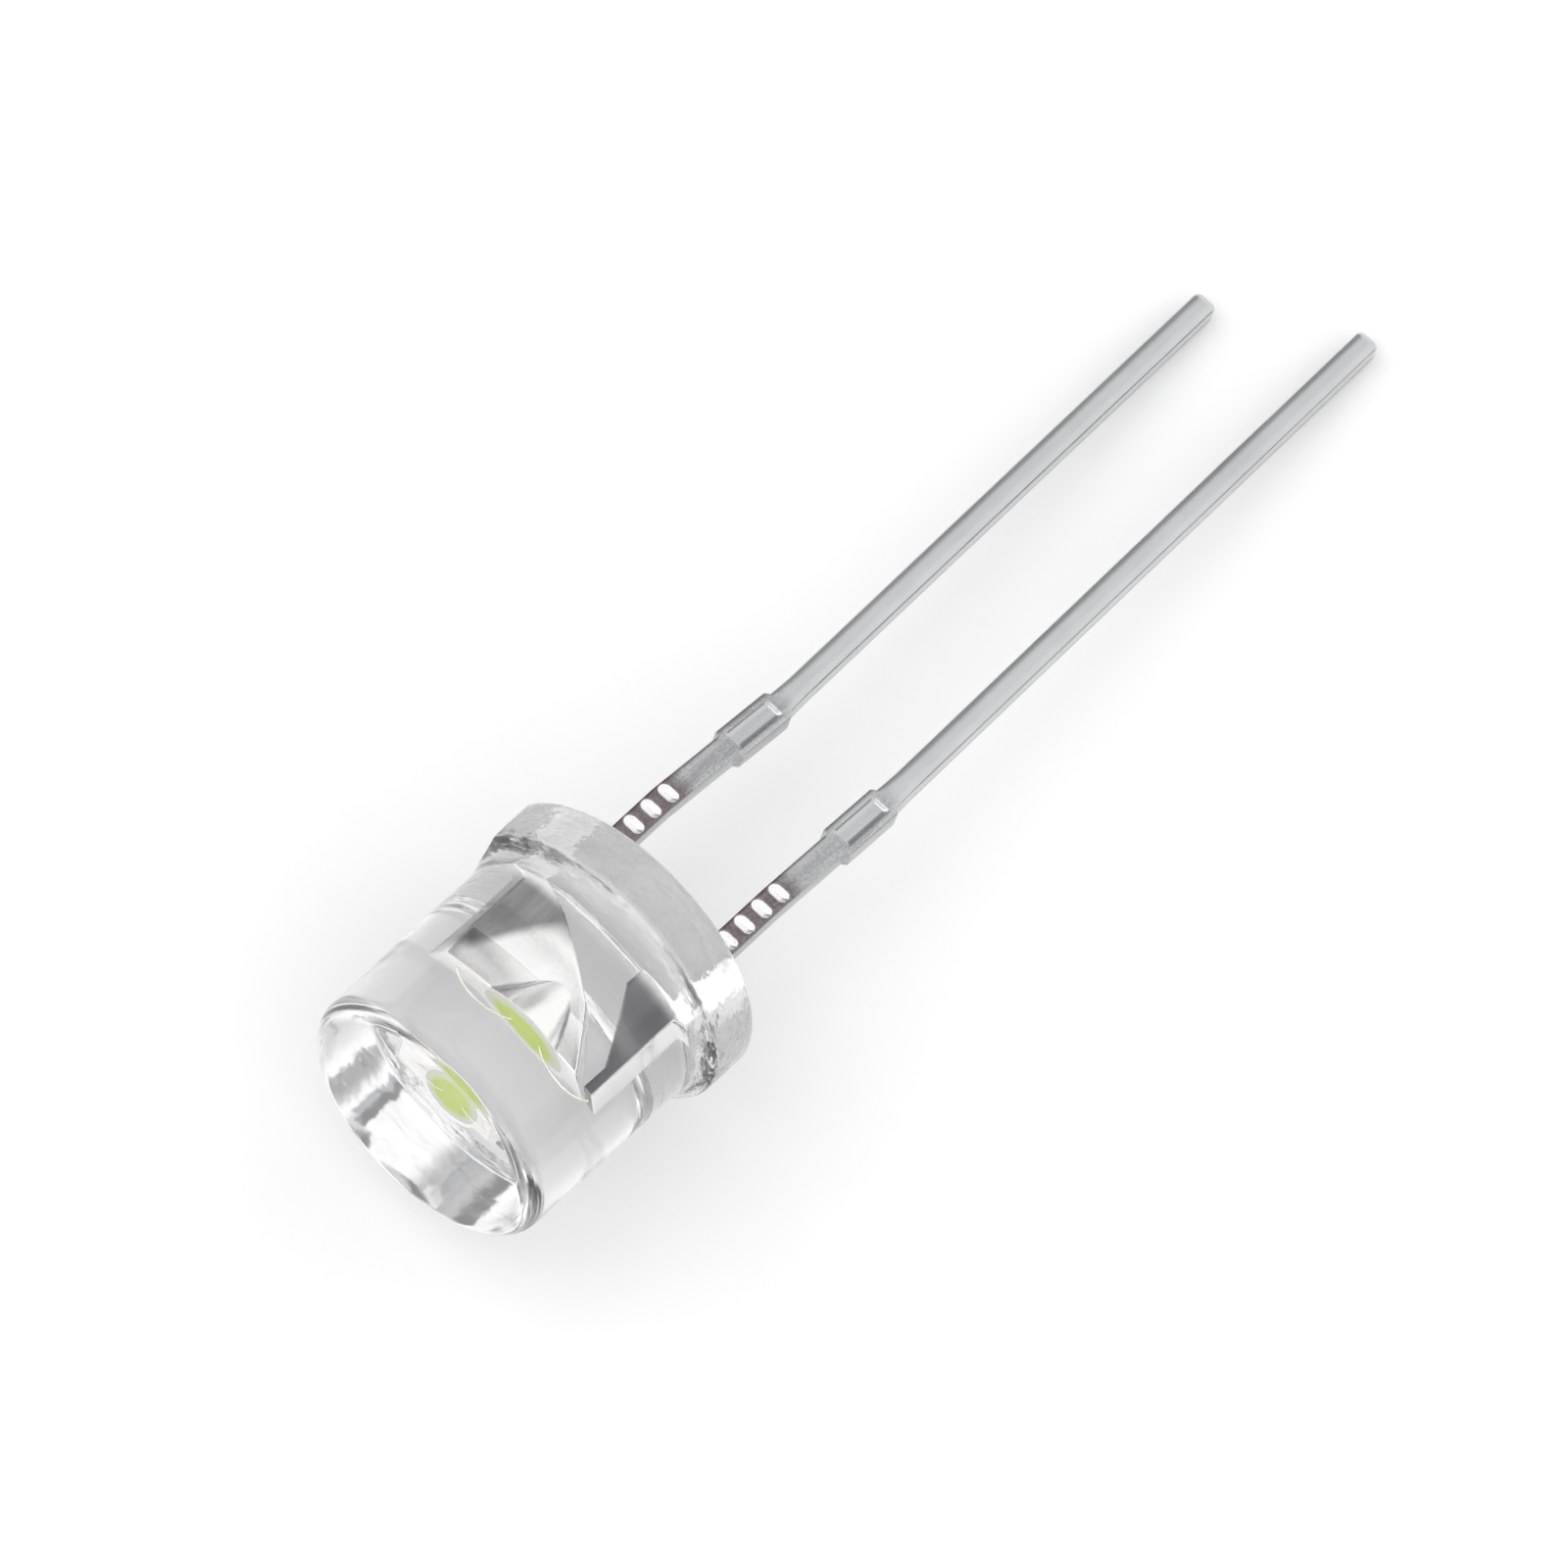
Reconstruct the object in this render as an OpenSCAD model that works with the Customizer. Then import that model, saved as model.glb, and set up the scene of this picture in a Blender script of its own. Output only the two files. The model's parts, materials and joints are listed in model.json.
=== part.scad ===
// Flat-topped clear light-emitting diode with two leads for through-hole mounting.
// Every piece is drawn about the lens axis: Z = 0 is the seating plane at the back of the flange, the
// flat top faces +Z and the leads run down -Z, side by side in the XZ plane with the cathode at -X.
// lie_down() then lays the whole thing on its flange and its two lead ends.

/* [Case] */
// Diameter of the round body
body_d = 5; // [4.5:0.05:6]
// Height of the case from the seating plane to the flat top
case_h = 5.3; // [4.6:0.05:7]
// How far the flange stands out from the body
flange_lip = 0.3; // [0.2:0.01:0.4]
// Thickness of the flange at its full diameter
flange_t = 1.04; // [0.7:0.01:1.3]
// Rounding of the flange's back edge
flange_back_r = 0.2; // [0.05:0.01:0.25]
// Rounding of the flange's front edge
flange_front_r = 0.12; // [0.05:0.01:0.2]
// Hollow blend from the flange to the body
blend_r = 0.5; // [0.4:0.01:0.8]
// Rounding of the rim of the flat top
rim_r = 0.35; // [0.1:0.01:0.6]
// How far outside the body's wall the polarity flat lies
flat_gap = 0.02; // [0:0.01:0.1]

/* [Leads] */
// Distance between the leads where they leave the case
pitch = 2.54; // [2.4:0.01:2.8]
// Width of a lead, in the plane of the pair
lead_w = 0.47; // [0.4:0.01:0.6]
// Thickness of the sheet that the leads are stamped from
lead_t = 0.45; // [0.35:0.01:0.5]
// Length of the cathode lead behind the seating plane
cathode_len = 15.9; // [10:0.1:28]
// Length of the anode lead behind the seating plane
anode_len = 17.4; // [10:0.1:30]
// Rounding of a lead's cut end
tip_r = 0.14; // [0.05:0.01:0.18]
// Length of a lead next to the case that stays square to the seating plane
lead_straight = 2.1; // [1.5:0.05:3]
// Sideways lean of the cathode lead from there to its stand-off's far end, in degrees
cathode_lean_near = 3.5; // [-6:0.1:7]
// Sideways lean of the cathode lead beyond its stand-off, in degrees
cathode_lean_far = -0.7; // [-2:0.1:2]
// Sideways lean of the anode lead from there to its stand-off's far end, in degrees
anode_lean_near = 1.5; // [-6:0.1:7]
// Sideways lean of the anode lead beyond its stand-off, in degrees
anode_lean_far = -0.9; // [-2:0.1:2]

/* [Stand-offs and bite marks] */
// Distance from the seating plane to the nearer end of a stand-off
standoff_z = 3.6; // [3:0.05:6]
// Length of a stand-off along the lead
standoff_len = 1.3; // [0.8:0.05:2]
// How far a stand-off is proud of each side of the lead
standoff_proud = 0.085; // [0.05:0.005:0.2]
// Slope at the ends of a stand-off, along the lead
standoff_slope = 0.09; // [0.02:0.01:0.2]
// Border left around the pressed panel of a stand-off
panel_border = 0.13; // [0.08:0.01:0.2]
// Depth of the pressed panel
panel_depth = 0.05; // [0.02:0.005:0.08]
// Number of bite marks pressed into a lead near the case
bites = 5; // [2:1:6]
// Spacing of the bite marks
bite_pitch = 0.43; // [0.35:0.01:0.5]
// Distance from the seating plane to the nearest bite mark
bite_z = 0.52; // [0.3:0.01:1]
// Length of a bite mark across the lead
bite_w = 0.34; // [0.2:0.01:0.38]
// Radius of the tool that pressed a bite mark
bite_r = 0.12; // [0.09:0.01:0.15]
// Depth of a bite mark
bite_depth = 0.07; // [0.03:0.01:0.08]

/* [Lead frame inside the case] */
// Height of the reflector cup's rim above the seating plane
cup_z = 3.1; // [2.7:0.05:3.5]
// Bore of the reflector cup at its rim
cup_d = 1.16; // [0.9:0.01:1.3]
// Bore of the reflector cup at its floor
cup_floor_d = 0.62; // [0.58:0.01:0.8]
// Depth of the reflector cup
cup_depth = 0.48; // [0.35:0.01:0.6]
// Thickness of the cup's wall at its rim
cup_wall = 0.09; // [0.05:0.01:0.15]
// Height of the flare that carries the cup
flare_h = 1; // [0.8:0.01:1.1]
// Height of the shoulders where the leads widen
shoulder_z = 0.75; // [0.5:0.01:0.9]
// How far the outer edges step in above the shoulders
shoulder_step = 0.27; // [0.1:0.01:0.3]
// Reach of the anvil's far corner past the axis
anvil_reach = 0.92; // [0.8:0.01:1]
// Thickness of the anvil's coined top edge
anvil_top_t = 0.72; // [0.55:0.01:0.9]
// Height of the coined bevel under the anvil's top edge
anvil_bevel_h = 0.75; // [0.4:0.01:1]
// Where the anvil's sloping side bends, past the axis
anvil_knee_x = 0.3; // [0:0.01:0.4]
// Drop of that bend below the anvil's top edge
anvil_knee_drop = 1.08; // [0.9:0.01:1.2]
// Where the anvil's sloping side meets its foot, short of the axis
anvil_heel_x = 0.6; // [0.4:0.01:0.8]
// Height of that heel above the shoulders
anvil_heel_rise = 0.35; // [0.2:0.01:0.5]
// Gap between the anvil's corner and the anode post
post_gap = 0.12; // [0.08:0.01:0.2]
// Height of the post's straight top
post_neck_h = 0.55; // [0.3:0.01:0.8]
// Reach of the post's foot towards the axis, measured from the axis
post_foot_x = 0.44; // [0.35:0.01:0.7]
// Height of the post's foot
post_foot_h = 0.4; // [0.2:0.01:0.5]

/* [Chip and wires] */
// Side of the square die
die_w = 0.3; // [0.2:0.01:0.36]
// Thickness of the die
die_t = 0.1; // [0.06:0.01:0.15]
// How far the attach pad reaches past the die
attach_margin = 0.04; // [0.02:0.01:0.05]
// Thickness of the attach pad
attach_t = 0.02; // [0.01:0.005:0.03]
// Rise of the phosphor's dome above the cup's rim
phosphor_rise = 0.06; // [0.02:0.01:0.1]
// Diameter of a bond wire
wire_d = 0.04; // [0.03:0.005:0.05]
// Distance of each bond from the middle of the die
bond_x = 0.1; // [0.05:0.01:0.11]
// Height of a wire's loop over the line between its ends
loop_h = 0.4; // [0.35:0.01:0.5]
// Diameter of the ball at a wire's end on the die
ball_d = 0.08; // [0.06:0.005:0.09]
// Height of that ball after bonding
ball_h = 0.03; // [0.02:0.005:0.04]

/* [Hidden] */
$fn = 64;
arc_steps = 8;
past = 0.1;

body_r = body_d / 2;
flange_r = body_r + flange_lip;
flat_x = -(body_r + flat_gap);

// The flange's front rounding and the hollow blend touch each other on the line between these centres
front_c = [flange_r - flange_front_r, flange_t - flange_front_r];
blend_dx = body_r + blend_r - front_c.x;
blend_c = [body_r + blend_r, front_c.y + sqrt(pow(blend_r + flange_front_r, 2) - pow(blend_dx, 2))];
blend_a = atan2(blend_c.y - front_c.y, blend_dx);

lead_r = lead_w / 2;
cathode_x = -pitch / 2;
anode_x = pitch / 2;
standoff_end = standoff_z + standoff_len;
step_x = (pitch + lead_w) / 2 - shoulder_step;
step_z = shoulder_z + shoulder_step;
cup_rim_r = cup_d / 2 + cup_wall;
cup_floor_z = cup_z - cup_depth;
post_x = anvil_reach + post_gap;
die_z = cup_floor_z + attach_t;
bond_z = die_z + die_t;
wing_bond_x = -(cup_rim_r + step_x) / 2;
post_bond_x = (post_x + step_x) / 2;
dome_r = (pow(cup_d / 2, 2) + pow(phosphor_rise, 2)) / (2 * phosphor_rise);

// Middle of a lead at a distance behind the seating plane, as far as its stand-off
function lean_x(x, near, down) = x + max(0, down - lead_straight) * tan(near);

function arc(c, r, a0, a1) = [for (i = [0:arc_steps]) let (a = a0 + (a1 - a0) * i / arc_steps)
    [c.x + r * cos(a), c.y + r * sin(a)]];

// Resting attitude: the flange's back edge and both lead ends touch the surface.
function lead_end_x(x, near, far, len) = lean_x(x, near, standoff_end) + (len - standoff_end) * tan(far);
cathode_end_x = lead_end_x(cathode_x, cathode_lean_near, cathode_lean_far, cathode_len);
anode_end_x = lead_end_x(anode_x, anode_lean_near, anode_lean_far, anode_len);

// How far the lowest corner of a lead's end lies below the lens axis, at a roll about that axis
function corner_drop(x, roll) = lead_t / 2 * cos(roll) + lead_r * abs(sin(roll)) - x * sin(roll);

// The tilt that brings the end of a lead and the flange's rounded edge down together
function rest_tilt(x, len, roll) = let (
    reach = len + flange_back_r,
    rise = flange_r - flange_back_r - corner_drop(x, roll))
    atan2(rise, reach) + asin(flange_back_r / norm([reach, rise]));

// The roll at which both leads ask for the same tilt, found by halving an interval
function tilt_gap(roll) = rest_tilt(cathode_end_x, cathode_len, roll)
    - rest_tilt(anode_end_x, anode_len, roll);
function find_roll(lo, hi, n) = let (mid = (lo + hi) / 2)
    n == 0 ? mid
    : tilt_gap(lo) * tilt_gap(mid) <= 0 ? find_roll(lo, mid, n - 1)
    : find_roll(mid, hi, n - 1);
roll = find_roll(-60, 60, 30);
tilt = rest_tilt(cathode_end_x, cathode_len, roll);

// Place of the lens axis over the surface, with the part's footprint centred on the origin
axis_h = (flange_r - flange_back_r) * cos(tilt) - flange_back_r * sin(tilt) + flange_back_r;
flat_y = sqrt(pow(flange_r, 2) - pow(flat_x, 2));
low_x = min(flat_x * cos(roll) - flat_y * sin(roll), -flange_r * abs(sin(roll)));
low_y = -(case_h - rim_r) * cos(tilt) - (body_r - rim_r) * sin(tilt) - rim_r;
high_y = max(cathode_len, anode_len) * cos(tilt) + lead_t / 2 * sin(tilt);

module lie_down() {
    translate([-(flange_r + low_x) / 2, -(low_y + high_y) / 2, axis_h])
        rotate([90 - tilt, 0, 0])
            rotate([0, 0, roll])
                children();
}

// A flat shape drawn in the XZ plane, stamped from sheet of this thickness
module stamped(t) {
    rotate([90, 0, 0])
        translate([0, 0, -t / 2])
            linear_extrude(t) children();
}

module case_blank() {
    difference() {
        rotate_extrude($fn = 96) polygon(concat(
            [[0, 0]],
            arc([flange_r - flange_back_r, flange_back_r], flange_back_r, -90, 0),
            arc(front_c, flange_front_r, 0, blend_a),
            arc(blend_c, blend_r, blend_a + 180, 180),
            arc([body_r - rim_r, case_h - rim_r], rim_r, 0, 90),
            [[0, case_h]]));
        translate([flat_x - body_r, -flange_r, -past])
            cube([body_r, 2 * flange_r, case_h + 2 * past]);
    }
}

// The free part of a lead, from the seating plane to its cut end
module lead_outline(x, near, far, len) {
    proud_r = lead_r + standoff_proud;
    x1 = lean_x(x, near, standoff_z);
    x2 = lean_x(x, near, standoff_end);
    x3 = lead_end_x(x, near, far, len);
    polygon(concat(
        [[x - lead_r, 0], [x - lead_r, -lead_straight], [x1 - lead_r, -standoff_z],
            [x1 - proud_r, -standoff_z - standoff_slope], [x2 - proud_r, standoff_slope - standoff_end],
            [x2 - lead_r, -standoff_end]],
        arc([x3 - lead_r + tip_r, tip_r - len], tip_r, 180, 270),
        arc([x3 + lead_r - tip_r, tip_r - len], tip_r, 270, 360),
        [[x2 + lead_r, -standoff_end],
            [x2 + proud_r, standoff_slope - standoff_end], [x1 + proud_r, -standoff_z - standoff_slope],
            [x1 + lead_r, -standoff_z], [x + lead_r, -lead_straight], [x + lead_r, 0]]));
}

// One pressed mark across a lead: a shallow trough with round ends
module bite() {
    half = bite_w / 2 - bite_r / 2;
    translate([-half, 0, 0]) rotate([0, 90, 0]) cylinder(h = 2 * half, r = bite_r);
    translate([-half, 0, 0]) sphere(r = bite_r);
    translate([half, 0, 0]) sphere(r = bite_r);
}

module lead(x, near, far, len) {
    panel_z = standoff_z + standoff_len / 2;
    difference() {
        stamped(lead_t) lead_outline(x, near, far, len);
        for (i = [0:bites - 1]) {
            down = bite_z + i * bite_pitch;
            translate([lean_x(x, near, down), lead_t / 2 + bite_r - bite_depth, -down]) bite();
        }
        translate([lean_x(x, near, panel_z), lead_t / 2, -panel_z])
            rotate([0, -near, 0])
                cube([lead_w + 2 * (standoff_proud - panel_border), 2 * panel_depth,
                    standoff_len - 2 * panel_border], center = true);
    }
}

module anvil_outline() {
    polygon([[cathode_x - lead_r, 0], [cathode_x - lead_r, shoulder_z], [-step_x, step_z], [-step_x, cup_z],
        [anvil_reach, cup_z], [anvil_knee_x, cup_z - anvil_knee_drop],
        [-anvil_heel_x, shoulder_z + anvil_heel_rise], [cathode_x + lead_r, shoulder_z],
        [cathode_x + lead_r, 0]]);
}

module post_outline() {
    foot_z = step_z + post_foot_h / 2;
    polygon([[anode_x - lead_r, 0], [anode_x - lead_r, shoulder_z - post_foot_h / 2],
        [post_foot_x, step_z - post_foot_h / 2], [post_foot_x, foot_z],
        [post_x, cup_z - post_neck_h], [post_x, cup_z], [step_x, cup_z], [step_x, step_z],
        [anode_x + lead_r, shoulder_z], [anode_x + lead_r, 0]]);
}

// The bowl of the cup, with the slightly domed top of what fills it
module cup_fill() {
    rotate_extrude() polygon(concat(
        [[0, cup_floor_z], [cup_floor_d / 2, cup_floor_z]],
        arc([0, cup_z + phosphor_rise - dome_r], dome_r, acos(cup_d / 2 / dome_r), 90)));
}

// Sheet that thickens towards the anvil's top edge, seen along X
module coined_section() {
    bevel_z = cup_z - anvil_bevel_h;
    polygon([[-lead_t / 2, 0], [lead_t / 2, 0], [lead_t / 2, bevel_z], [anvil_top_t / 2, cup_z],
        [-anvil_top_t / 2, cup_z], [-lead_t / 2, bevel_z]]);
}

module cathode_frame() {
    difference() {
        union() {
            lead(cathode_x, cathode_lean_near, cathode_lean_far, cathode_len);
            intersection() {
                stamped(anvil_top_t + past) anvil_outline();
                translate([-2 * pitch, 0, 0]) rotate([90, 0, 90]) linear_extrude(4 * pitch) coined_section();
            }
            translate([0, 0, cup_z - flare_h]) cylinder(h = flare_h, r1 = lead_t / 2, r2 = cup_rim_r);
        }
        cup_fill();
    }
}

module anode_frame() {
    lead(anode_x, anode_lean_near, anode_lean_far, anode_len);
    stamped(lead_t) post_outline();
}

module attach_pad() {
    w = die_w + 2 * attach_margin;
    translate([-w / 2, -w / 2, cup_floor_z]) cube([w, w, attach_t]);
}

module die_block() {
    translate([-die_w / 2, -die_w / 2, die_z]) cube([die_w, die_w, die_t]);
}

// A wire from a bond on the die up and over to a bond on the lead frame, at the height of the cup's rim
module wire_loop(from_x, to_x) {
    run = to_x - from_x;
    rise = cup_z - bond_z;
    chord = norm([run, rise]);
    side = sign(run);
    loop_r = (chord * chord / 4 + loop_h * loop_h) / (2 * loop_h);
    sink = (loop_r - loop_h) / chord;
    c = [from_x + run / 2 + sink * rise * side, bond_z + rise / 2 - sink * abs(run)];
    a0 = atan2(cup_z - c.y, (to_x - c.x) * side);
    a1 = atan2(bond_z - c.y, (from_x - c.x) * side);
    sweep = (a1 < 0 ? a1 + 360 : a1) - a0;
    translate([c.x, 0, c.y])
        mirror([side < 0 ? 1 : 0, 0, 0])
            rotate([90, 0, 0])
                rotate([0, 0, a0])
                    rotate_extrude(angle = sweep) translate([loop_r, 0]) circle(d = wire_d);
    translate([from_x, 0, bond_z]) cylinder(h = ball_h, d = ball_d);
}

module cathode_wire() {
    wire_loop(-bond_x, wing_bond_x);
}

module anode_wire() {
    wire_loop(bond_x, post_bond_x);
}

module epoxy_case() {
    color([0.93, 0.95, 0.96, 0.35]) lie_down() difference() {
        case_blank();
        cathode_frame();
        anode_frame();
        cup_fill();
        cathode_wire();
        anode_wire();
    }
}

module cathode_lead() {
    color([0.76, 0.76, 0.78]) lie_down() cathode_frame();
}

module anode_lead() {
    color([0.76, 0.76, 0.78]) lie_down() anode_frame();
}

module die_attach() {
    color([0.85, 0.86, 0.84]) lie_down() attach_pad();
}

module led_die() {
    color([0.5, 0.62, 0.72]) lie_down() die_block();
}

module phosphor_fill() {
    color([0.76, 0.88, 0.2]) lie_down() difference() {
        cup_fill();
        attach_pad();
        die_block();
        cathode_wire();
        anode_wire();
    }
}

module cathode_bond_wire() {
    color([0.9, 0.72, 0.3]) lie_down() difference() {
        cathode_wire();
        die_block();
        cathode_frame();
    }
}

module anode_bond_wire() {
    color([0.9, 0.72, 0.3]) lie_down() difference() {
        anode_wire();
        die_block();
        anode_frame();
    }
}

epoxy_case();
cathode_lead();
anode_lead();
die_attach();
led_die();
phosphor_fill();
cathode_bond_wire();
anode_bond_wire();
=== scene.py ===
import json
import math

import bmesh
import bpy
from mathutils import Matrix, Vector


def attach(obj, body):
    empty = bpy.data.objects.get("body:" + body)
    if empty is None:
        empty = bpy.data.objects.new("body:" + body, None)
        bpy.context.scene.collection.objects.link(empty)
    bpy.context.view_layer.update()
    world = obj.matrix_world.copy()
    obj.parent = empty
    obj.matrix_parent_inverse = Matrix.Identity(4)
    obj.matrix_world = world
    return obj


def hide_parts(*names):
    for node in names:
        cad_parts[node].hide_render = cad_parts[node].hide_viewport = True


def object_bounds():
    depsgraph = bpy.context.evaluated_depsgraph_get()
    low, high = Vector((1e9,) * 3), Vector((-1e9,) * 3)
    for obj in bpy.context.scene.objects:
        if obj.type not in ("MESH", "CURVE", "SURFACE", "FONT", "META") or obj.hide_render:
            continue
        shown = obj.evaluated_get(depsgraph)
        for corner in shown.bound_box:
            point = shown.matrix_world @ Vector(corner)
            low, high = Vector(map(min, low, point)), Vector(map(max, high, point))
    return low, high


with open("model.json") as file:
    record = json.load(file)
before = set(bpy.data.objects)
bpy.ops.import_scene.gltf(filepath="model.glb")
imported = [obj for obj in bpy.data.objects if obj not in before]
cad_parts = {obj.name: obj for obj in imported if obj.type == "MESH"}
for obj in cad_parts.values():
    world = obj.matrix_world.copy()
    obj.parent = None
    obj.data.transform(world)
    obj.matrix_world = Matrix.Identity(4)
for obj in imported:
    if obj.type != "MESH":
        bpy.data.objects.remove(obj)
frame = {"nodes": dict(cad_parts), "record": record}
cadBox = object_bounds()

# A clear flat-topped LED with two stamped leads, lying on its flange and its lead ends.
scene = bpy.context.scene
noiseSpan = (0.3, 0.7)                           # where most values of a noise lie
mounts = {mount["name"]: mount for mount in frame["record"]["mounts"]}

# The LED's own frame, in millimetres: Z is the lens axis from the seating plane, X runs from the cathode
# lead to the anode lead, and Y is square to both. The square die shows how it is turned.
seat = Vector(mounts["seating_face"]["pos_m"])
lensAxis = Vector(mounts["body"]["axis"]).normalized()
dieSides = [face.normal for face in frame["nodes"]["led_die"].data.polygons]
pairAxis = max(dieSides, key=lambda normal: normal.x).copy()
pairAxis = (pairAxis - lensAxis * pairAxis.dot(lensAxis)).normalized()
faceAxis = lensAxis.cross(pairAxis)
turn = Matrix((pairAxis, faceAxis, lensAxis)).transposed()
ledFrame = Matrix.Translation(seat) @ turn.to_4x4() @ Matrix.Scale(0.001, 4)


class Value:                                     # one socket, so that maths on it reads as maths
    def __init__(self, shader, socket):
        self.shader = shader
        self.socket = socket

    def maths(self, operation, first, second):
        return self.shader.node("ShaderNodeMath", {"operation": operation}, {0: first, 1: second})

    def __add__(self, other):
        return self.maths("ADD", self, other)

    def __radd__(self, other):
        return self.maths("ADD", other, self)

    def __sub__(self, other):
        return self.maths("SUBTRACT", self, other)

    def __rsub__(self, other):
        return self.maths("SUBTRACT", other, self)

    def __mul__(self, other):
        return self.maths("MULTIPLY", self, other)

    def __rmul__(self, other):
        return self.maths("MULTIPLY", other, self)


class Shader:
    def __init__(self, name, world=False):
        owner = bpy.data.worlds if world else bpy.data.materials
        self.material = owner.new(name)
        self.material.use_nodes = True
        self.tree = self.material.node_tree
        self.tree.nodes.clear()

    def node(self, kind, settings=None, inputs=None, output=0):
        made = self.tree.nodes.new(kind)
        for key, value in (settings or {}).items():
            setattr(made, key, value)
        for key, value in (inputs or {}).items():
            if isinstance(value, Value):
                self.tree.links.new(value.socket, made.inputs[key])
            else:
                made.inputs[key].default_value = value
        if made.outputs:
            return Value(self, made.outputs[output])

    def place(self):                             # the surface point in the LED's own millimetres
        return self.node("ShaderNodeAttribute", {"attribute_name": "ownPlace"}, output="Vector")

    def along(self, axis="Z"):                   # how far the point lies along one of the LED's axes
        return self.node("ShaderNodeSeparateXYZ", {}, {0: self.place()}, axis)

    def position(self):                          # the surface point in the scene, in metres
        return self.node("ShaderNodeNewGeometry", output="Position")

    def noise(self, scale, detail=4, roughness=0.5, stretch=(1, 1, 1)):
        vector = self.node("ShaderNodeVectorMath", {"operation": "MULTIPLY"}, {0: self.place(), 1: stretch})
        return self.node("ShaderNodeTexNoise", {},
                         {"Vector": vector, "Scale": scale, "Detail": detail, "Roughness": roughness})

    def mix(self, factor, first, second):
        return self.node("ShaderNodeMix", {"data_type": "RGBA"}, {0: factor, 6: first, 7: second}, 2)

    def level(self, value, low, high, least=0.0, most=1.0):     # a smooth step from low to high
        return self.node("ShaderNodeMapRange", {"clamp": True, "interpolation_type": "SMOOTHSTEP"},
                         {0: value, 1: low, 2: high, 3: least, 4: most})

    def bump(self, height, distance, strength=1.0):
        return self.node("ShaderNodeBump", {},
                         {"Height": height, "Distance": distance, "Strength": strength})

    def finish(self, **inputs):
        names = {"baseColour": "Base Color", "roughness": "Roughness", "metallic": "Metallic",
                 "ior": "IOR", "transmission": "Transmission Weight", "specular": "Specular IOR Level",
                 "normal": "Normal"}
        surface = self.node("ShaderNodeBsdfPrincipled", {},
                            {names[key]: value for key, value in inputs.items()})
        self.node("ShaderNodeOutputMaterial", {}, {"Surface": surface})
        return self.material


# Meshes are made in the LED's own millimetres, and settle() moves them into the scene.
def loft(rings):
    mesh = bmesh.new()
    rows = [[mesh.verts.new(point) for point in ring] for ring in rings]
    count = len(rows[0])
    for low, high in zip(rows, rows[1:]):
        for i in range(count):
            j = (i + 1) % count
            mesh.faces.new((low[i], low[j], high[j], high[i]))
    mesh.faces.new(list(reversed(rows[0])))
    mesh.faces.new(rows[-1])
    bmesh.ops.recalc_face_normals(mesh, faces=mesh.faces)
    return mesh


def revolve(profile, steps):
    mesh = bmesh.new()
    turnBy = 2 * math.pi / steps
    rows = []
    for radius, z in profile:
        if radius < 1e-6:                        # a point on the axis is one vertex
            rows.append([mesh.verts.new((0, 0, z))] * steps)
        else:
            rows.append([mesh.verts.new((radius * math.cos(turnBy * i), radius * math.sin(turnBy * i), z))
                         for i in range(steps)])
    for low, high in zip(rows, rows[1:]):
        for i in range(steps):
            j = (i + 1) % steps
            corners = list(dict.fromkeys((low[i], low[j], high[j], high[i])))
            if len(corners) > 2:
                mesh.faces.new(corners)
    bmesh.ops.recalc_face_normals(mesh, faces=mesh.faces)
    return mesh


def arc(centre, radius, start, end, steps):
    points = []
    for i in range(steps + 1):
        angle = math.radians(start + (end - start) * i / steps)
        points.append((centre[0] + radius * math.cos(angle), centre[1] + radius * math.sin(angle)))
    return points


def asObject(name, mesh):
    data = bpy.data.meshes.new(name)
    mesh.to_mesh(data)
    mesh.free()
    made = bpy.data.objects.new(name, data)
    scene.collection.objects.link(made)
    return made


def boolean(target, tool, operation):
    modifier = target.modifiers.new("cut", "BOOLEAN")
    modifier.operation = operation
    modifier.solver = "EXACT"
    modifier.object = tool
    bpy.context.view_layer.update()
    graph = bpy.context.evaluated_depsgraph_get()
    result = bpy.data.meshes.new_from_object(target.evaluated_get(graph))
    target.modifiers.clear()
    target.data = result
    bpy.data.objects.remove(tool)


def settle(piece, material, sharp, nodes):     # finishes a piece and hands it to the frame
    data = piece.data
    place = data.attributes.new("ownPlace", "FLOAT_VECTOR", "POINT")
    place.data.foreach_set("vector", [value for vertex in data.vertices for value in vertex.co])
    data.shade_smooth()
    data.set_sharp_from_angle(angle=math.radians(sharp))
    data.transform(ledFrame)
    data.materials.clear()
    data.materials.append(material)
    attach(piece, "root")
    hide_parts(*nodes)


case = {
    "radius": mounts["body"]["dims"]["r_mm"],    # round body
    "height": 5.3,                               # seating plane to flat top
    "flangeLip": 0.3,
    "flangeThickness": 1.04,
    "backRounding": 0.2,
    "frontRounding": 0.12,
    "blend": 0.5,                                # hollow between flange and body
    "rimRounding": 0.35,
    "flatGap": 0.02,                             # polarity flat to body wall
    "straight": 0.02,                             # short straight before a rounding
    "steps": 360,
    "backSteps": 12,
    "frontSteps": 10,
    "blendSteps": 14,
    "rimSteps": 20,
    "sharpAngle": 32,
    "indexOfRefraction": 1.5,
    "clearColour": (0.978, 0.982, 0.99, 1),
    # untinted: painted light across the flange, and a random paler tint along the waves
    "palerColour": (1, 1, 1, 1),
    "waveScale": 0.55,
    "speckScale": 9,
    "swirlScale": 1.3,
    "waveHeight": 0.6,
    "speckHeight": 0.02,
    "swirlHeight": 1.6,
    "bumpDistance": 0.00003,
    "roughness": (0.02, 0.05),
    "flangeFrost": 0.1,
    "rimFrost": 0.3,
}


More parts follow.
